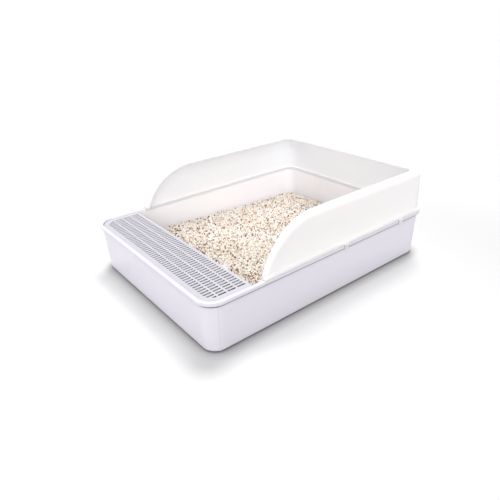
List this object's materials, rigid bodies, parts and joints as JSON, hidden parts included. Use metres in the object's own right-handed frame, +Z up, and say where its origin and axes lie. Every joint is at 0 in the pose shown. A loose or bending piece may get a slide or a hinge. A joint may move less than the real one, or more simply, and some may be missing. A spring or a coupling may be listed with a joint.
{
  "type": "litter tray",
  "caption": "Open rectangular cat litter tray with a lift-off splash guard, a slotted foot grate at the front end and a bed of litter.",
  "frame": {"origin": "middle of the underside of the tray, on the surface it stands on", "axes": "+X across the tray, +Y from the grate end to the back of the guard, +Z up"},
  "size_m": [0.4258, 0.56, 0.185],
  "materials": {
    "tray_plastic": "smooth moulded polypropylene, white",
    "guard_plastic": "smooth moulded polypropylene, milky white",
    "grate_plastic": "satin moulded polypropylene, pale grey",
    "litter": "dry wood or clay granules, cream with brown grains"
  },
  "bodies": {
    "tray_body": {"tray": "tray_plastic", "litter_bed": "litter"},
    "guard_body": {"splash_guard": "guard_plastic"},
    "grate_body": {"foot_grate": "grate_plastic"}
  },
  "joints": [
    {"name": "guard_lift", "type": "slide", "parent": "tray_body", "child": "guard_body", "axis": [0, 0, 1], "range_m": [0, 0.06]},
    {"name": "grate_lift", "type": "slide", "parent": "tray_body", "child": "grate_body", "axis": [0, 0, 1], "range_m": [0, 0.04]}
  ]
}
